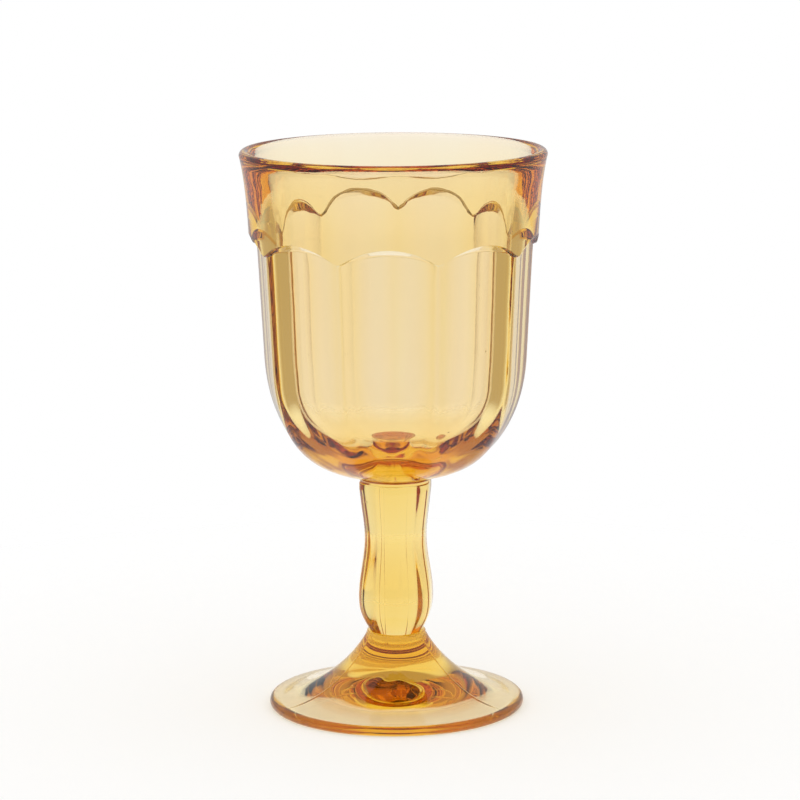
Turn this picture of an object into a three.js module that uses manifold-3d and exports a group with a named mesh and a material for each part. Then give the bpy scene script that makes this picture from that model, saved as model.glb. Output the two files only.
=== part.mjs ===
// A pressed glass goblet: a bowl with nine flat panels, a six sided stem and a round spread foot.
// Units are millimetres and degrees, +Z is up, and the foot rests on Z = 0 at the origin.
import * as THREE from 'three';
import { mergeVertices } from 'three/addons/utils/BufferGeometryUtils.js';
import Module from 'manifold-3d';

const wasm = await Module();
wasm.setup();

// Foot
const footRadius = 37.1;
const footHeight = 22.2;
const footEdgeThickness = 3.0;
const footEdgeArcEnd = 80.0;
const footRestWidth = 2.0;
const footHollowDepth = 7.0;
const footHollowCrown = 6.7;
const footHollowSpread = 23.5;
const footHollowSkirt = 2.4;
const footFlareReach = 18.8;
const footFlareRise = 1.2;
const footNeckRun = 1.5;
const lowerWeldRadius = 8.5;

// Stem: heights are above the foot, radii run to the ridges
const stemHeight = 44.4;
const stemSides = 6;
const stemTurn = -5.0;
const stemFlankRadius = 11.3;
const stemFlankHeight = 5.2;
const stemBellyRadius = 12.1;
const stemBellyHeight = 9.8;
const stemWaistRadius = 10.1;
const stemWaistHeight = 27.8;
const stemNeckRadius = 10.85;
const stemNeckHeight = 35.8;
const stemShoulderRadius = 11.7;
const stemShoulderDrop = 2.0;
const stemRidgeSoftening = 0.75;
const upperWeldRadius = 10.2;

// Bowl: heights are above the stem
const bowlHeight = 96.4;
const rimRadius = 44.0;
const rimThickness = 3.0;
const rimFlareRadius = 42.1;
const rimFlareDrop = 7.7;
const bandFootRadius = 41.4;
const bandFootHeight = 70.4;
const neckHeight = 1.8;
const neckStep = 0.3;

// Panels of the bowl: radii run to the middle of a panel
const panelCount = 9;
const panelTopRadius = 38.15;
const panelTopHeight = 69.7;
const panelMiddleRadius = 36.4;
const panelMiddleHeight = 35.2;
const panelBendRun = 20.0;
const panelUndersideReach = 15.4;
const panelUndersideSlope = 5.0;
const archRadius = 36.5;
const archCove = 3.2;

// Cavity of the bowl
const cavityFlareRadius = 36.3;
const cavityFlareDrop = 10.0;
const cavityTopRadius = 34.4;
const cavityTopRun = 7.0;
const cavityTopLean = 0.6;
const cavityRadius = 32.5;
const cavityBendHeight = 36.0;
const cavityBendRun = 16.5;
const cavityFloorReach = 26.0;
const cavityFloorThickness = 9.6;

// Divisions of round shapes
const bowlSegments = 72;
const stemSegments = 36;
const footSegments = 72;
const archSegments = 72;
const curveDivisions = 6;
const panelDivisions = 12;
const stemDivisions = 20;

// Length by which a cutting shape reaches past what it cuts
const cutMargin = 3.0;

const bowlBase = footHeight + stemHeight;

const amberGlass = new THREE.MeshStandardMaterial({ color: 0xf2c46b, roughness: 0.05, metalness: 0.0 });

// Solid of revolution about Z from points of radius and height
function revolve(points, segments) {
  return new THREE.LatheGeometry(points, segments).rotateX(Math.PI / 2);
}

// Prism of a closed outline of radius and height, centred along Y
function prism(outline, length) {
  const settings = { depth: length, bevelEnabled: false, steps: 1 };
  const geometry = new THREE.ExtrudeGeometry(new THREE.Shape(outline), settings);
  return geometry.translate(0, 0, -length / 2).rotateX(Math.PI / 2);
}

// Closed geometry as a solid that can be joined and cut
function solidOf(geometry) {
  geometry.deleteAttribute('normal');
  geometry.deleteAttribute('uv');
  const merged = mergeVertices(geometry);
  const corners = merged.index.array;
  const triangles = [];
  for (let i = 0; i < corners.length; i += 3) {
    const [a, b, c] = corners.slice(i, i + 3);
    if (a !== b && b !== c && c !== a) {
      triangles.push(a, b, c);
    }
  }
  const vertProperties = new Float32Array(merged.attributes.position.array);
  const triVerts = new Uint32Array(triangles);
  return new wasm.Manifold(new wasm.Mesh({ numProp: 3, vertProperties, triVerts }));
}

// Solid as the geometry of a mesh
function geometryOf(solid) {
  const { vertProperties, triVerts } = solid.getMesh();
  const geometry = new THREE.BufferGeometry();
  geometry.setAttribute('position', new THREE.BufferAttribute(vertProperties, 3));
  geometry.setIndex(new THREE.BufferAttribute(triVerts, 1));
  geometry.computeVertexNormals();
  return geometry;
}

// Foot: a bell shaped hollow below, a narrow ring to rest on, a rounded edge and a bell rising to the stem
function makeFoot() {
  const edgeRound = footEdgeThickness / 2;
  const restOuter = footRadius - edgeRound;
  const restInner = restOuter - footRestWidth;
  const edgeEnd = THREE.MathUtils.degToRad(footEdgeArcEnd);
  const profile = new THREE.Path();
  profile.moveTo(0, footHollowDepth);
  profile.bezierCurveTo(
    footHollowCrown, footHollowDepth,
    footHollowSpread, footHollowSkirt,
    restInner, 0,
  );
  profile.lineTo(restOuter, 0);
  profile.absarc(restOuter, edgeRound, edgeRound, -Math.PI / 2, edgeEnd, false);
  profile.bezierCurveTo(
    footRadius - footFlareReach, footEdgeThickness + footFlareRise,
    lowerWeldRadius, footHeight - footNeckRun,
    lowerWeldRadius, footHeight,
  );
  profile.lineTo(0, footHeight);
  return revolve(profile.getPoints(curveDivisions), footSegments);
}

// Line of the stem's ridges from the foot to the shoulder
function stemRidgePoints() {
  const ridge = new THREE.SplineCurve([
    new THREE.Vector2(lowerWeldRadius, 0),
    new THREE.Vector2(stemFlankRadius, stemFlankHeight),
    new THREE.Vector2(stemBellyRadius, stemBellyHeight),
    new THREE.Vector2(stemWaistRadius, stemWaistHeight),
    new THREE.Vector2(stemNeckRadius, stemNeckHeight),
    new THREE.Vector2(stemShoulderRadius, stemHeight - stemShoulderDrop),
  ]);
  return ridge.getPoints(stemDivisions);
}

// Stem: a turned baluster with a rounded shoulder, cut to flats between softened ridges
function makeStem() {
  const ridge = stemRidgePoints();
  const turned = [new THREE.Vector2(0, 0)];
  for (const point of ridge) {
    turned.push(new THREE.Vector2(point.x - stemRidgeSoftening, point.y));
  }
  const shoulder = new THREE.QuadraticBezierCurve(
    turned[turned.length - 1],
    new THREE.Vector2(stemShoulderRadius, stemHeight),
    new THREE.Vector2(upperWeldRadius, stemHeight),
  );
  turned.push(...shoulder.getPoints(curveDivisions).slice(1));
  turned.push(new THREE.Vector2(0, stemHeight));

  const flat = Math.cos(Math.PI / stemSides);
  const side = [new THREE.Vector2(lowerWeldRadius * flat, -cutMargin)];
  for (const point of ridge) {
    side.push(new THREE.Vector2(point.x * flat, point.y));
  }
  side.push(new THREE.Vector2(stemShoulderRadius * flat, stemHeight + cutMargin));
  const otherSide = side.map((point) => new THREE.Vector2(-point.x, point.y)).reverse();
  const slabLength = 2 * (stemBellyRadius + stemShoulderRadius);

  let stem = solidOf(revolve(turned, stemSegments));
  for (let i = 0; i < stemSides / 2; i += 1) {
    const slab = prism([...side, ...otherSide], slabLength).rotateZ((2 * Math.PI * i) / stemSides);
    stem = stem.intersect(solidOf(slab));
  }
  return geometryOf(stem);
}

// Bowl before its panels are cut: round outside, with the lip and the smooth cavity
function makeBowlBlank() {
  const lipRound = rimThickness / 2;
  const lipHeight = bowlHeight - lipRound;
  const profile = new THREE.Path();
  profile.moveTo(0, 0);
  profile.lineTo(upperWeldRadius, 0);
  profile.lineTo(upperWeldRadius, neckHeight / 2);
  profile.quadraticCurveTo(bandFootRadius, neckHeight / 2, bandFootRadius, panelMiddleHeight);
  profile.lineTo(bandFootRadius, bandFootHeight);
  profile.quadraticCurveTo(rimFlareRadius, lipHeight - rimFlareDrop, rimRadius, lipHeight);
  profile.absarc(rimRadius - lipRound, lipHeight, lipRound, 0, Math.PI, false);
  profile.bezierCurveTo(
    cavityFlareRadius, lipHeight - cavityFlareDrop,
    cavityTopRadius + cavityTopLean, bandFootHeight + cavityTopRun,
    cavityTopRadius, bandFootHeight,
  );
  profile.lineTo(cavityRadius, cavityBendHeight);
  profile.bezierCurveTo(
    cavityRadius, cavityBendHeight - cavityBendRun,
    cavityFloorReach, cavityFloorThickness,
    0, cavityFloorThickness,
  );
  return revolve(profile.getPoints(curveDivisions), bowlSegments);
}

// Everything that one panel takes off the blank, on the +X side: the top ends in a round cove
function makePanelCutter() {
  const slope = THREE.MathUtils.degToRad(panelUndersideSlope);
  const taper = (panelTopRadius - panelMiddleRadius) / (panelTopHeight - panelMiddleHeight);
  const outside = rimRadius + cutMargin;
  const panelFoot = upperWeldRadius + neckStep;
  const above = bowlHeight - panelTopHeight;

  const outline = new THREE.Path();
  outline.moveTo(outside, bowlHeight);
  outline.lineTo(panelTopRadius + taper * above, bowlHeight);
  outline.lineTo(panelMiddleRadius, panelMiddleHeight);
  outline.bezierCurveTo(
    panelMiddleRadius - taper * panelBendRun, panelMiddleHeight - panelBendRun,
    panelFoot + panelUndersideReach, neckHeight + panelUndersideReach * Math.tan(slope),
    panelFoot, neckHeight,
  );
  outline.lineTo(panelFoot, -cutMargin);
  outline.lineTo(outside, -cutMargin);
  const halfWidth = bandFootRadius * Math.tan(Math.PI / panelCount) + cutMargin;
  const panel = solidOf(prism(outline.getPoints(panelDivisions), 2 * halfWidth));

  const archLength = outside - panelFoot;
  const archCentre = panelTopHeight - archRadius;
  const disc = new THREE.Path();
  disc.moveTo(0, panelFoot);
  disc.lineTo(archRadius, panelFoot);
  disc.lineTo(archRadius, panelTopRadius);
  disc.absarc(archRadius, panelTopRadius + archCove, archCove, -Math.PI / 2, 0, false);
  disc.lineTo(archRadius + archCove, outside);
  disc.lineTo(0, outside);
  const arch = revolve(disc.getPoints(curveDivisions), archSegments);
  arch.rotateY(Math.PI / 2).translate(0, 0, archCentre);
  const below = new THREE.BoxGeometry(archLength, 2 * halfWidth, archCentre + cutMargin);
  below.translate(panelFoot + archLength / 2, 0, (archCentre - cutMargin) / 2);
  return panel.intersect(solidOf(arch).add(solidOf(below)));
}

// Bowl: the blank cut to flat panels whose arched tops leave a scalloped band above
function makeBowl() {
  const cutter = makePanelCutter();
  let bowl = solidOf(makeBowlBlank());
  for (let i = 0; i < panelCount; i += 1) {
    bowl = bowl.subtract(cutter.rotate([0, 0, (360 * i) / panelCount - 90]));
  }
  return geometryOf(bowl);
}

// Named piece of the goblet at its height
function piece(name, geometry, height) {
  const mesh = new THREE.Mesh(geometry, amberGlass);
  mesh.name = name;
  mesh.position.z = height;
  return mesh;
}

const goblet = new THREE.Group();
goblet.add(piece('foot', makeFoot(), 0));
const stem = piece('stem', makeStem(), footHeight);
stem.rotation.z = THREE.MathUtils.degToRad(stemTurn);
goblet.add(stem);
goblet.add(piece('bowl', makeBowl(), bowlBase));

export default goblet;
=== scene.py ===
import math

import bpy
from mathutils import Matrix, Vector


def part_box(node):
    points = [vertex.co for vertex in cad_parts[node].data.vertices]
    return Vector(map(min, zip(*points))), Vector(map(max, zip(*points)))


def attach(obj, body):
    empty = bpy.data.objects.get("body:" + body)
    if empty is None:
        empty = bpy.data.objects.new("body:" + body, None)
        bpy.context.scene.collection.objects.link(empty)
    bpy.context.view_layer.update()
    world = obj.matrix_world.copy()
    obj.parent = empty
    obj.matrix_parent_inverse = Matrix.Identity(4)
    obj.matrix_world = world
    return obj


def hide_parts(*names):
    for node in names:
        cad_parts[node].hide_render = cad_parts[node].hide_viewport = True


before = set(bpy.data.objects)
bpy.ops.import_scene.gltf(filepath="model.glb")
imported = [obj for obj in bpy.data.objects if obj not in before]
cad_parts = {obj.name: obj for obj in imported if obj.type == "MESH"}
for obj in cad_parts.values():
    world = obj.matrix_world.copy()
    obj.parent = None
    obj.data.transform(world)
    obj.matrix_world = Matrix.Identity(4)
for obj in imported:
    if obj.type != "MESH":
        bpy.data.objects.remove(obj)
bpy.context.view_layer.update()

# A pressed amber glass goblet on a pale floor. Lengths are in millimetres until a mesh is made.
MM = 0.001

# Heights of the two hot joints, and how far each piece ends short of them
LOWER_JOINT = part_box("foot")[1].z / MM
UPPER_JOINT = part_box("stem")[1].z / MM
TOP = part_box("bowl")[1].z / MM
JOINT_GAP = 0.01


# Plane curves and soft corners

def lerp(a, b, t):
    return a + (b - a) * t


def bezier(points, t):
    """Point of a Bezier curve of any degree."""
    while len(points) > 1:
        points = [
            (lerp(p[0], q[0], t), lerp(p[1], q[1], t)) for p, q in zip(points, points[1:])
        ]
    return points[0]


def along(points, count, start=0.0, skip_first=True):
    """Points of a Bezier curve, from a start value to its end."""
    first = 1 if skip_first else 0
    return [bezier(points, lerp(start, 1.0, i / count)) for i in range(first, count + 1)]


def soft_min(a, b, reach):
    h = max(reach - abs(a - b), 0.0) / reach
    return min(a, b) - h * h * reach / 4


def soft_max(a, b, reach):
    return -soft_min(-a, -b, reach)


def spline(points):
    """Smooth curve through points of height and radius, as a function of the height."""
    xs = [p[0] for p in points]
    ys = [p[1] for p in points]
    last = len(points) - 1
    bends, factors, rights = [0.0] * (last + 1), [0.0], [0.0]
    for i in range(1, last):
        h, k = xs[i] - xs[i - 1], xs[i + 1] - xs[i]
        jump = 6 * ((ys[i + 1] - ys[i]) / k - (ys[i] - ys[i - 1]) / h)
        pivot = 2 * (h + k) - h * factors[-1]
        rights.append((jump - h * rights[-1]) / pivot)
        factors.append(k / pivot)
    for i in range(last - 1, 0, -1):
        bends[i] = rights[i] - factors[i] * bends[i + 1]

    def value(x):
        i = 0
        while i < last - 1 and x > xs[i + 1]:
            i += 1
        h = xs[i + 1] - xs[i]
        a, b = (xs[i + 1] - x) / h, (x - xs[i]) / h
        curve = ((a ** 3 - a) * bends[i] + (b ** 3 - b) * bends[i + 1]) * h * h / 6
        return a * ys[i] + b * ys[i + 1] + curve

    return value


def wrapped(angle, step):
    """Angle from the middle of the nearest of equal sectors."""
    return angle - step * math.floor(angle / step + 0.5)


# Closed mesh of rings, each a list of points, between two points on the axis

def ring_mesh(name, low, rings, high, welds):
    """Piece from a pole, rings and a pole. welds gives the ring numbers whose fans are joints."""
    columns = len(rings[0])
    verts = [low]
    for ring in rings:
        verts.extend(ring)
    verts.append(high)
    last = len(verts) - 1
    faces, joined = [], []

    def start(row):
        return 1 + row * columns

    for c in range(columns):
        n = (c + 1) % columns
        faces.append((0, start(0) + n, start(0) + c))
        joined.append(1.0 if 0 in welds else 0.0)
    for row in range(len(rings) - 1):
        for c in range(columns):
            n = (c + 1) % columns
            faces.append((start(row) + c, start(row) + n, start(row + 1) + n, start(row + 1) + c))
            joined.append(0.0)
    end = len(rings) - 1
    for c in range(columns):
        n = (c + 1) % columns
        faces.append((start(end) + c, start(end) + n, last))
        joined.append(1.0 if end in welds else 0.0)

    mesh = bpy.data.meshes.new(name)
    mesh.from_pydata([(x * MM, y * MM, z * MM) for x, y, z in verts], [], faces, shade_flat=False)
    mesh.attributes.new("weld", "FLOAT", "FACE").data.foreach_set("value", joined)
    sharp_rows = {0 if row == 0 else end for row in welds}
    flags = []
    for edge in mesh.edges:
        a, b = edge.vertices
        row_a, row_b = (a - 1) // columns, (b - 1) // columns
        flags.append(row_a == row_b and row_a in sharp_rows and 0 < a < last and 0 < b < last)
    mesh.attributes.new("sharp_edge", "BOOLEAN", "EDGE").data.foreach_set("value", flags)
    mesh.update()
    obj = bpy.data.objects.new(name, mesh)
    bpy.context.scene.collection.objects.link(obj)
    return obj


def polar(radius, angle, z):
    """Point at an angle from the front, which is -Y, towards +X."""
    return (radius * math.sin(angle), -radius * math.cos(angle), z)


# Mould seams: three fine raised lines, on the stem and the foot

SEAMS = [math.radians(a) for a in (-60.0, 60.0, 180.0)]
SEAM_HEIGHT = 0.14
SEAM_WIDTH = 0.2


def seam_angles(count, reach):
    """Even angles with more of them close to each seam. reach is in millimetres of radius."""
    angles = [2 * math.pi * c / count for c in range(count)]
    clear = 2.6 * SEAM_WIDTH / reach
    angles = [a for a in angles if all(abs(wrapped(a - s, 2 * math.pi)) > clear for s in SEAMS)]
    for s in SEAMS:
        for step in (-2.5, -1.7, -1.2, -0.8, -0.4, 0.0, 0.4, 0.8, 1.2, 1.7, 2.5):
            angles.append((s + step * SEAM_WIDTH / reach) % (2 * math.pi))
    return sorted(angles)


def seamed(radius, angle):
    """Radius with the seam's fine ridge on it."""
    off = min(abs(wrapped(angle - s, 2 * math.pi)) for s in SEAMS) * radius / SEAM_WIDTH
    return radius + SEAM_HEIGHT * math.exp(-off * off)


# Bowl

RIM_RADIUS = 44.0
LIP_ROUND = 1.5
LIP_HEIGHT = TOP - LIP_ROUND
FLARE = (42.1, LIP_HEIGHT - 7.7)
BAND = (41.4, UPPER_JOINT + 70.4)
PANELS = 9
PANEL_STEP = 2 * math.pi / PANELS
PANEL_TOP = (38.2, UPPER_JOINT + 70.7)
PANEL_MIDDLE = (36.4, UPPER_JOINT + 35.2)
PANEL_FOOT = (10.5, UPPER_JOINT + 1.8)
PANEL_TAPER = (PANEL_TOP[0] - PANEL_MIDDLE[0]) / (PANEL_TOP[1] - PANEL_MIDDLE[1])
UNDERSIDE = [
    PANEL_FOOT,
    (PANEL_FOOT[0] + 15.4, PANEL_FOOT[1] + 15.4 * math.tan(math.radians(5.0))),
    (PANEL_MIDDLE[0] - PANEL_TAPER * 20.0, PANEL_MIDDLE[1] - 20.0),
    PANEL_MIDDLE,
]
UNDERSIDE_START = 0.067
NECK_RADIUS = 10.2
NECK_STRAIGHT = 0.4
ARCH_RADIUS = 37.4
ARCH_SLOPE = 1.1
ARCH_ROUND = 0.4
ARCH_LEDGE = 1.3
LEDGE_SLOPE = 7.0
ARCH_CENTRE = UPPER_JOINT + 33.2
RIDGE_SOFT = 0.8
UNDERSIDE_SOFT = 5.0
BAND_EDGE_SOFT = 0.35
CAVITY_WALL = [
    (97.0, 32.1),
    (102.0, 32.5),
    (111.0, 32.9),
    (121.0, 33.25),
    (128.0, 33.6),
    (134.0, 34.0),
    (139.0, 34.5),
    (144.0, 35.25),
    (148.0, 36.05),
    (152.0, 37.0),
    (156.0, 38.2),
    (158.5, 39.05),
    (160.5, 39.85),
]
CAVITY_BEND = (31.1, 85.5)
CAVITY_FLOOR = UPPER_JOINT + 9.9
CAVITY_FLOOR_REACH = 25.0
LIP_INSIDE = [(RIM_RADIUS - LIP_ROUND, TOP), (41.5, TOP), (40.6, 161.6), CAVITY_WALL[-1][::-1]]
BAND_ROWS_FROM = 146.0
BAND_EDGE_ROWS = (0.06, 0.12, 0.2, 0.3, 0.45, 0.7, 1.1, 1.7)
NECK_ROWS = 9
UNDERSIDE_ROWS = 34
PANEL_ROWS = 10
ARCH_ROWS = 16
LIP_ROWS = 9
CAVITY_ROWS = 40
CUP_ROWS = 34
BOWL_COLUMNS = 504


def panel_radius(apothem, angle):
    """Radius of the nine sided section with softened ridges."""
    near = wrapped(angle, PANEL_STEP)
    other = abs(near) - PANEL_STEP
    share = min(max((apothem - PANEL_FOOT[0]) / (PANEL_MIDDLE[0] - PANEL_FOOT[0]), 0.0), 1.0)
    soft = lerp(UNDERSIDE_SOFT, RIDGE_SOFT, share ** 2)
    return soft_min(apothem / math.cos(near), apothem / math.cos(other), soft)


def panel_apothem(z):
    return PANEL_MIDDLE[0] + PANEL_TAPER * (z - PANEL_MIDDLE[1])


def fluted_radius(angle, z):
    """Radius of the panels with the slope that ends each of them in an arch."""
    near = abs(wrapped(angle, PANEL_STEP))
    found = []
    for turn in (near, near - PANEL_STEP):
        rise = math.hypot(BAND[0] * math.sin(turn), z - ARCH_CENTRE) - ARCH_RADIUS
        rise = rise if z > ARCH_CENTRE else 0.0
        depth = ARCH_SLOPE * soft_max(rise - ARCH_ROUND, 0.0, ARCH_ROUND)
        ledge = BAND[0] * math.cos(turn) - PANEL_TOP[0] - ARCH_LEDGE
        depth += (LEDGE_SLOPE - 1) * max(depth - max(ledge, 0.0), 0.0)
        found.append((panel_apothem(z) + depth) / math.cos(turn))
    return soft_min(found[0], found[1], RIDGE_SOFT)


def arch_heights(angle, count):
    """Heights up the slope at one angle, from the flat panel to the band."""
    near = wrapped(angle, PANEL_STEP)
    depth = BAND[0] * math.cos(near) - PANEL_TOP[0]
    ledge = max(depth - ARCH_LEDGE, 0.0)
    last = (ledge + (depth - ledge) / LEDGE_SLOPE) / ARCH_SLOPE + ARCH_ROUND
    across = BAND[0] * math.sin(near)
    found = []
    for i in range(count + 1):
        reach = ARCH_RADIUS + last * (1 - (1 - i / count) ** 2)
        found.append(ARCH_CENTRE + math.sqrt(reach ** 2 - across ** 2))
    return found


def band_radius(z):
    """Radius of the round band, which flares to the lip."""
    if z <= BAND[1]:
        return BAND[0]
    low, high = 0.0, 1.0
    curve = [BAND, FLARE, (RIM_RADIUS, LIP_HEIGHT)]
    for _ in range(30):
        t = (low + high) / 2
        if bezier(curve, t)[1] < z:
            low = t
        else:
            high = t
    return bezier(curve, low)[0]


def wall_radius(angle, z):
    """Radius of the outside between the panels' middle and the band."""
    return soft_min(band_radius(z), fluted_radius(angle, z), BAND_EDGE_SOFT)


def make_bowl():
    angles = [2 * math.pi * c / BOWL_COLUMNS for c in range(BOWL_COLUMNS)]
    rings = []

    def round_ring(radius, z):
        rings.append([polar(radius, angle, z) for angle in angles])

    bottom = UPPER_JOINT + JOINT_GAP
    round_ring(NECK_RADIUS, bottom)
    round_ring(NECK_RADIUS, UPPER_JOINT + NECK_STRAIGHT / 2)
    begin = bezier(UNDERSIDE, UNDERSIDE_START)
    ahead = bezier(UNDERSIDE, UNDERSIDE_START + 0.01)
    slope = (ahead[1] - begin[1]) / (ahead[0] - begin[0])
    corner = (NECK_RADIUS, begin[1] - slope * (begin[0] - NECK_RADIUS))
    fillet = [(NECK_RADIUS, UPPER_JOINT + NECK_STRAIGHT), corner, begin]
    for i, (a, z) in enumerate(along(fillet, NECK_ROWS, skip_first=False)):
        share = (i / NECK_ROWS) ** 2
        rings.append(
            [polar(lerp(a, panel_radius(a, angle), share), angle, z) for angle in angles]
        )
    for a, z in along(UNDERSIDE, UNDERSIDE_ROWS, UNDERSIDE_START):
        rings.append([polar(panel_radius(a, angle), angle, z) for angle in angles])

    heights = []
    for angle in angles:
        arch = arch_heights(angle, ARCH_ROWS)
        column = [lerp(PANEL_MIDDLE[1], arch[0], i / PANEL_ROWS) for i in range(1, PANEL_ROWS)]
        column += arch
        column += [arch[-1] + d for d in BAND_EDGE_ROWS]
        column += [lerp(column[-1], BAND_ROWS_FROM, i / 4) for i in range(1, 5)]
        column += [lerp(BAND_ROWS_FROM, LIP_HEIGHT, i / 12) for i in range(1, 12)]
        heights.append(column)
    for row in range(len(heights[0])):
        rings.append(
            [polar(wall_radius(angle, h[row]), angle, h[row]) for angle, h in zip(angles, heights)]
        )
    for i in range(LIP_ROWS + 1):
        turn = math.pi / 2 * i / LIP_ROWS
        round_ring(
            RIM_RADIUS - LIP_ROUND + LIP_ROUND * math.cos(turn),
            LIP_HEIGHT + LIP_ROUND * math.sin(turn),
        )
    for r, z in along(LIP_INSIDE, 14):
        round_ring(r, z)
    wall_low, wall_high = CAVITY_WALL[0], CAVITY_WALL[-1]
    wall = spline(CAVITY_WALL)
    for i in range(1, CAVITY_ROWS + 1):
        z = lerp(wall_high[0], wall_low[0], i / CAVITY_ROWS)
        round_ring(wall(z), z)
    cup = [
        (wall_low[1], wall_low[0]),
        CAVITY_BEND,
        (CAVITY_FLOOR_REACH, CAVITY_FLOOR),
        (0.0, CAVITY_FLOOR),
    ]
    for r, z in along(cup, CUP_ROWS)[:-1]:
        round_ring(r, z)
    return ring_mesh("bowl_glass", (0, 0, bottom), rings, (0, 0, CAVITY_FLOOR), {0})


# Stem

STEM_SIDES = 6
STEM_STEP = 2 * math.pi / STEM_SIDES
STEM_TURN = math.radians(-5.0)
STEM_RIDGE = [
    (LOWER_JOINT, 8.5),
    (LOWER_JOINT + 5.2, 11.3),
    (LOWER_JOINT + 9.8, 12.1),
    (LOWER_JOINT + 27.8, 10.1),
    (LOWER_JOINT + 35.8, 10.85),
    (UPPER_JOINT - 2.0, 11.7),
]
STEM_RIDGE_SOFT = 3.6
STEM_SHOULDER = [(11.4, UPPER_JOINT - 2.0), (11.7, UPPER_JOINT), (NECK_RADIUS, UPPER_JOINT)]
STEM_SHOULDER_SOFT = 0.8
STEM_ROWS = 90
SHOULDER_ROWS = 14
STEM_COLUMNS = 240


def stem_section(ridge, angle):
    """Radius of the six sided section with softened ridges."""
    apothem = ridge * math.cos(STEM_STEP / 2)
    near = abs(wrapped(angle - STEM_TURN - STEM_STEP / 2, STEM_STEP))
    first = apothem / math.cos(near)
    second = apothem / math.cos(near - STEM_STEP)
    return soft_min(first, second, STEM_RIDGE_SOFT)


def make_stem():
    angles = seam_angles(STEM_COLUMNS, 11.0)
    bottom, top = LOWER_JOINT + JOINT_GAP, UPPER_JOINT - JOINT_GAP
    shoulder = STEM_SHOULDER[0][1]
    rings = []
    ridge_line = spline(STEM_RIDGE)
    for i in range(STEM_ROWS + 1):
        z = lerp(LOWER_JOINT, shoulder, i / STEM_ROWS)
        ridge = ridge_line(z)
        z = max(z, bottom)
        rings.append(
            [polar(seamed(stem_section(ridge, angle), angle), angle, z) for angle in angles]
        )
    for r, z in along(STEM_SHOULDER, SHOULDER_ROWS):
        ring = []
        for angle in angles:
            side = stem_section(STEM_RIDGE[-1][1], angle)
            side = min(soft_min(side, r, STEM_SHOULDER_SOFT), NECK_RADIUS + 1)
            ring.append(polar(side, angle, min(z, top)))
        rings.append(ring)
    end = len(rings) - 1
    return ring_mesh("stem_glass", (0, 0, bottom), rings, (0, 0, top), {0, end})


# Foot

FOOT_RADIUS = 37.1
FOOT_EDGE_ROUND = 1.5
FOOT_REST_OUTER = FOOT_RADIUS - FOOT_EDGE_ROUND
FOOT_REST_INNER = FOOT_REST_OUTER - 2.0
FOOT_HOLLOW = 7.0
FOOT_HOLLOW_CURVE = [(6.7, FOOT_HOLLOW), (23.5, 2.4)]
UNDER_ROWS = 24
UNDER_WAVES = [(2, 0.6, 0.05), (3, 2.1, 0.04), (5, 4.0, 0.025)]
FOOT_EDGE_END = math.radians(80.0)
FOOT_NECK = 8.5
REST_ROWS = 3
EDGE_ROWS = 14
BELL_ROWS = 60
BELL_SEAM_ROWS = 6
FOOT_COLUMNS = 360


def under_wave(angle):
    """Slow waves left in the pressed underside, as a share of its height."""
    return sum(size * math.sin(count * angle + start) for count, start, size in UNDER_WAVES)


def make_foot():
    angles = seam_angles(FOOT_COLUMNS, 24.0)
    top = LOWER_JOINT - JOINT_GAP
    under = [(0.0, FOOT_HOLLOW)] + FOOT_HOLLOW_CURVE + [(FOOT_REST_INNER, 0.0)]
    profile = along(under, UNDER_ROWS)
    profile += along([(FOOT_REST_INNER, 0.0), (FOOT_REST_OUTER, 0.0)], REST_ROWS)
    for i in range(1, EDGE_ROWS + 1):
        turn = lerp(-math.pi / 2, FOOT_EDGE_END, i / EDGE_ROWS)
        profile.append(
            (
                FOOT_REST_OUTER + FOOT_EDGE_ROUND * math.cos(turn),
                FOOT_EDGE_ROUND + FOOT_EDGE_ROUND * math.sin(turn),
            )
        )
    bell = [
        profile[-1],
        (FOOT_RADIUS - 18.8, 2 * FOOT_EDGE_ROUND + 1.2),
        (FOOT_NECK, LOWER_JOINT - 1.5),
        (FOOT_NECK, LOWER_JOINT),
    ]
    rings = []
    for row, (r, z) in enumerate(profile):
        drop = z * math.sin(math.pi * row / UNDER_ROWS) if row < UNDER_ROWS else 0.0
        rings.append([polar(r, angle, z - drop * under_wave(angle)) for angle in angles])
    for i in range(1, BELL_ROWS + 1):
        r, z = bezier(bell, i / BELL_ROWS)
        rise = min(1.0, i / BELL_SEAM_ROWS)
        rings.append(
            [polar(r, angle, min(z + rise * (seamed(r, angle) - r), top)) for angle in angles]
        )
    rings.append([polar(stem_section(STEM_RIDGE[0][1], angle), angle, top) for angle in angles])
    end = len(rings) - 1
    return ring_mesh("foot_glass", (0, 0, FOOT_HOLLOW), rings, (0, 0, top), {end})


# Glass

def node(tree, kind, **values):
    made = tree.nodes.new(kind)
    for key, value in values.items():
        setattr(made, key, value)
    return made


def noise(tree, where, scale, detail):
    made = node(tree, "ShaderNodeTexNoise")
    made.inputs["Scale"].default_value = scale
    made.inputs["Detail"].default_value = detail
    tree.links.new(where, made.inputs["Vector"])
    return made.outputs["Fac"]


def spread(tree, value, low, high, out_low, out_high):
    """Value between two limits, smoothly turned into a value between two others."""
    made = node(tree, "ShaderNodeMapRange", interpolation_type="SMOOTHSTEP")
    tree.links.new(value, made.inputs["Value"])
    for name, number in (
        ("From Min", low), ("From Max", high), ("To Min", out_low), ("To Max", out_high),
    ):
        made.inputs[name].default_value = number
    return made.outputs[0]


def bump(tree, height, strength, distance, below):
    made = node(tree, "ShaderNodeBump")
    made.inputs["Strength"].default_value = strength
    made.inputs["Distance"].default_value = distance
    tree.links.new(height, made.inputs["Height"])
    if below is not None:
        tree.links.new(below, made.inputs["Normal"])
    return made.outputs[0]


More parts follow.
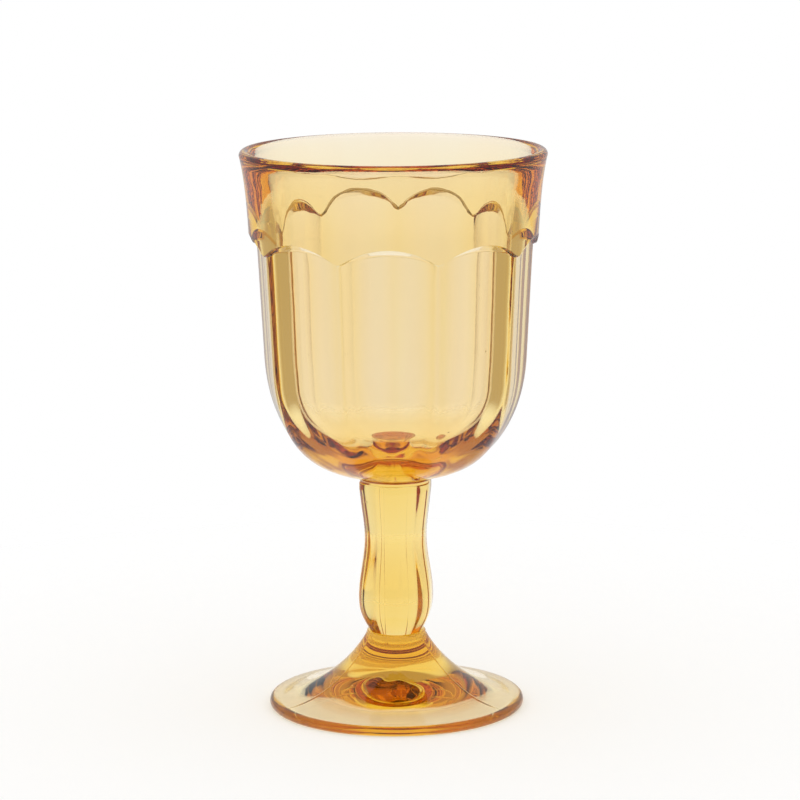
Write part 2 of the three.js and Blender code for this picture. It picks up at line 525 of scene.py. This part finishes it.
AMBER = (0.97, 0.815, 0.05, 1.0)
AMBER_DENSITY = 82.0
GLASS_IOR = 1.51
SHADOW_TINT = (0.99, 0.975, 0.93, 1.0)
STREAK_DEEP = (1.0, 0.93, 0.91, 1.0)
STREAK_PALE = (1.0, 0.955, 0.95, 1.0)


def make_glass():
    material = bpy.data.materials.new("amber_glass")
    material.use_nodes = True
    tree = material.node_tree
    tree.nodes.clear()
    out = node(tree, "ShaderNodeOutputMaterial")
    glass = node(tree, "ShaderNodeBsdfPrincipled")
    glass.inputs["Transmission Weight"].default_value = 1.0
    glass.inputs["IOR"].default_value = GLASS_IOR

    clear = node(tree, "ShaderNodeBsdfTransparent")
    mix = node(tree, "ShaderNodeMixShader")
    joint = node(tree, "ShaderNodeAttribute", attribute_name="weld")
    path = node(tree, "ShaderNodeLightPath")
    clear.inputs["Color"].default_value = SHADOW_TINT
    passing = node(tree, "ShaderNodeMath", operation="MAXIMUM")
    tree.links.new(joint.outputs["Fac"], passing.inputs[0])
    tree.links.new(path.outputs["Is Shadow Ray"], passing.inputs[1])
    tree.links.new(passing.outputs[0], mix.inputs[0])
    tree.links.new(glass.outputs[0], mix.inputs[1])
    tree.links.new(clear.outputs[0], mix.inputs[2])
    tree.links.new(mix.outputs[0], out.inputs["Surface"])

    tint = node(tree, "ShaderNodeVolumeAbsorption")
    tint.inputs["Color"].default_value = AMBER
    tint.inputs["Density"].default_value = AMBER_DENSITY
    tree.links.new(tint.outputs[0], out.inputs["Volume"])

    # Fire polished skin: slow waves, a fine ripple and a few seeds, with streaks in gloss and tint
    where = node(tree, "ShaderNodeTexCoord")
    waves = noise(tree, where.outputs["Object"], 38.0, 1.0)
    ripple = noise(tree, where.outputs["Object"], 150.0, 2.0)
    seeds = node(tree, "ShaderNodeTexVoronoi")
    seeds.inputs["Scale"].default_value = 85.0
    tree.links.new(where.outputs["Object"], seeds.inputs["Vector"])
    pit = spread(tree, seeds.outputs["Distance"], 0.012, 0.035, 0.0, 1.0)
    skin = bump(tree, waves, 0.25, 0.0003, None)
    skin = bump(tree, ripple, 0.25, 0.00008, skin)
    skin = bump(tree, pit, 0.6, 0.0001, skin)
    tree.links.new(skin, glass.inputs["Normal"])
    drawn = node(tree, "ShaderNodeMapping")
    drawn.inputs["Scale"].default_value = (90.0, 90.0, 14.0)
    tree.links.new(where.outputs["Object"], drawn.inputs["Vector"])
    streaks = noise(tree, drawn.outputs["Vector"], 1.0, 3.0)
    tree.links.new(spread(tree, streaks, 0.35, 0.75, 0.0, 0.02), glass.inputs["Roughness"])
    tone = node(tree, "ShaderNodeValToRGB")
    tone.color_ramp.elements[0].position = 0.3
    tone.color_ramp.elements[0].color = STREAK_DEEP
    tone.color_ramp.elements[1].position = 0.7
    tone.color_ramp.elements[1].color = STREAK_PALE
    tree.links.new(streaks, tone.inputs["Fac"])
    tree.links.new(tone.outputs["Color"], glass.inputs["Base Color"])
    return material


# Floor, light and camera

FLOOR_RADIUS = 0.3
FLOOR_FADE = 0.14
FLOOR_GAP = 0.00002
FLOOR_SIDES = 96
FLOOR_COLOUR = (0.93, 0.93, 0.93, 1.0)
FLOOR_GLOW = 0.12


def make_floor():
    turns = [2 * math.pi * i / FLOOR_SIDES for i in range(FLOOR_SIDES)]
    ring = [(FLOOR_RADIUS * math.cos(a), FLOOR_RADIUS * math.sin(a), -FLOOR_GAP) for a in turns]
    mesh = bpy.data.meshes.new("floor")
    mesh.from_pydata(ring, [], [tuple(range(FLOOR_SIDES))])
    floor = bpy.data.objects.new("floor", mesh)
    bpy.context.scene.collection.objects.link(floor)
    material = bpy.data.materials.new("floor")
    material.use_nodes = True
    tree = material.node_tree
    tree.nodes.clear()
    out = node(tree, "ShaderNodeOutputMaterial")
    matt = node(tree, "ShaderNodeBsdfDiffuse")
    matt.inputs["Color"].default_value = FLOOR_COLOUR
    glow = node(tree, "ShaderNodeEmission")
    glow.inputs["Color"].default_value = (1.0, 1.0, 1.0, 1.0)
    path = node(tree, "ShaderNodeLightPath")
    one = node(tree, "ShaderNodeMath", operation="MAXIMUM")
    two = node(tree, "ShaderNodeMath", operation="MAXIMUM")
    level = node(tree, "ShaderNodeMath", operation="MULTIPLY")
    level.inputs[1].default_value = FLOOR_GLOW
    tree.links.new(path.outputs["Is Camera Ray"], one.inputs[0])
    tree.links.new(path.outputs["Is Glossy Ray"], one.inputs[1])
    tree.links.new(one.outputs[0], two.inputs[0])
    tree.links.new(path.outputs["Is Transmission Ray"], two.inputs[1])
    tree.links.new(two.outputs[0], level.inputs[0])
    tree.links.new(level.outputs[0], glow.inputs["Strength"])
    add = node(tree, "ShaderNodeAddShader")
    tree.links.new(matt.outputs[0], add.inputs[0])
    tree.links.new(glow.outputs[0], add.inputs[1])

    # The edge fades into the white room
    where = node(tree, "ShaderNodeTexCoord")
    reach = node(tree, "ShaderNodeVectorMath", operation="LENGTH")
    tree.links.new(where.outputs["Object"], reach.inputs[0])
    fade = spread(tree, reach.outputs["Value"], FLOOR_FADE, FLOOR_RADIUS, 0.0, 1.0)
    clear = node(tree, "ShaderNodeBsdfTransparent")
    edge = node(tree, "ShaderNodeMixShader")
    tree.links.new(fade, edge.inputs[0])
    tree.links.new(add.outputs[0], edge.inputs[1])
    tree.links.new(clear.outputs[0], edge.inputs[2])
    tree.links.new(edge.outputs[0], out.inputs["Surface"])
    mesh.materials.append(material)


WARM_SIDE = (1.0, 0.8, 0.5, 1.0)
SIDE_LEVEL = 0.55
FRONT_LEVEL = 0.1
OVERHEAD_LEVEL = 0.55
FIRST_REFLECTION = 0.65
ROOM_LEVEL = 0.95


def make_world():
    world = bpy.data.worlds.new("studio")
    bpy.context.scene.world = world
    world.use_nodes = True
    tree = world.node_tree
    tree.nodes.clear()
    link = tree.links.new

    def math_node(operation, a, b=None, clamp=False):
        made = node(tree, "ShaderNodeMath", operation=operation, use_clamp=clamp)
        for socket, value in zip(made.inputs, (a, b)):
            if value is None:
                continue
            if isinstance(value, (int, float)):
                socket.default_value = value
            else:
                link(value, socket)
        return made.outputs[0]

    def ramp(value, low, high, out_low, out_high):
        """Level between two directions, given in degrees."""
        return spread(tree, value, math.radians(low), math.radians(high), out_low, out_high)

    def blend(share, a, b):
        made = node(tree, "ShaderNodeMix", data_type="FLOAT")
        for name, value in (("Factor", share), ("A", a), ("B", b)):
            if isinstance(value, (int, float)):
                made.inputs[name].default_value = value
            else:
                link(value, made.inputs[name])
        return made.outputs["Result"]

    out = node(tree, "ShaderNodeOutputWorld")
    path = node(tree, "ShaderNodeLightPath")
    where = node(tree, "ShaderNodeTexCoord")
    axes = node(tree, "ShaderNodeSeparateXYZ")
    link(where.outputs["Generated"], axes.inputs[0])
    side = math_node("ABSOLUTE", math_node("ARCTAN2", axes.outputs["X"], axes.outputs["Y"]))
    height = math_node("ARCSINE", axes.outputs["Z"])

    # Mirrored in the glass: white behind and below, dim at the sides and above, dark in front
    sides = ramp(side, 22, 40, 1.0, SIDE_LEVEL)
    front = ramp(side, 100, 140, 1.0, FRONT_LEVEL)
    level = math_node("MULTIPLY", sides, front)
    overhead = math_node("MULTIPLY", front, OVERHEAD_LEVEL)
    level = blend(ramp(height, 20, 40, 0.0, 1.0), level, overhead)
    level = blend(ramp(height, -42, -28, 1.0, 0.0), level, 1.0)
    # Seen straight through the glass: white, and less so high above
    through = ramp(height, 25, 50, 1.0, 0.6)
    bounced = math_node("GREATER_THAN", path.outputs["Glossy Depth"], 0.5)
    seen = blend(bounced, through, level)
    # First reflection off the outside: a pale room
    entered = math_node("GREATER_THAN", path.outputs["Transmission Depth"], 0.5)
    seen = blend(entered, FIRST_REFLECTION, seen)

    # The camera sees plain white, glass sees the studio, and the floor gets even light
    shiny = math_node("MAXIMUM", path.outputs["Is Glossy Ray"], path.outputs["Is Transmission Ray"])
    direct = math_node("LESS_THAN", path.outputs["Diffuse Depth"], 0.5)
    mirrored = math_node("MULTIPLY", shiny, direct)
    room = blend(mirrored, ROOM_LEVEL, seen)
    final = blend(path.outputs["Is Camera Ray"], room, 1.0)
    # The dim sides of the studio are warm
    warm = math_node("MULTIPLY", bounced, entered)
    warm = math_node("MULTIPLY", warm, spread(tree, level, 0.5, 0.95, 1.0, 0.0))
    warm = math_node("MULTIPLY", warm, mirrored)
    tone = node(tree, "ShaderNodeMix", data_type="RGBA")
    link(warm, tone.inputs["Factor"])
    tone.inputs["A"].default_value = (1.0, 1.0, 1.0, 1.0)
    tone.inputs["B"].default_value = WARM_SIDE
    light = node(tree, "ShaderNodeBackground")
    link(tone.outputs["Result"], light.inputs["Color"])
    link(final, light.inputs["Strength"])
    link(light.outputs[0], out.inputs["Surface"])


CAMERA_DISTANCE = 997.9
CAMERA_HEIGHT = 276.4
CAMERA_ASIDE = 1.5
CAMERA_TURN = math.radians(2.2)
CAMERA_PITCH = math.radians(10.57)
CAMERA_ROLL = math.radians(0.35)
CAMERA_LENS = 158.4


def make_camera():
    data = bpy.data.cameras.new("camera")
    data.lens = CAMERA_LENS
    data.sensor_width = 36.0
    camera = bpy.data.objects.new("camera", data)
    bpy.context.scene.collection.objects.link(camera)
    turn = Matrix.Rotation(CAMERA_TURN, 4, "Z")
    place = Matrix.Translation(
        Vector((CAMERA_ASIDE * MM, -CAMERA_DISTANCE * MM, CAMERA_HEIGHT * MM))
    )
    tilt = Matrix.Rotation(math.pi / 2 - CAMERA_PITCH, 4, "X")
    camera.matrix_world = turn @ place @ tilt @ Matrix.Rotation(-CAMERA_ROLL, 4, "Z")
    bpy.context.scene.camera = camera


glass = make_glass()
for piece, solid in ((make_bowl(), "bowl"), (make_stem(), "stem"), (make_foot(), "foot")):
    piece.data.materials.append(glass)
    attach(piece, "root")
    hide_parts(solid)

make_floor()
make_world()
make_camera()

scene = bpy.context.scene
scene.view_settings.view_transform = "Standard"
scene.cycles.max_bounces = 32
scene.cycles.transmission_bounces = 32
scene.cycles.glossy_bounces = 16
scene.cycles.transparent_max_bounces = 32
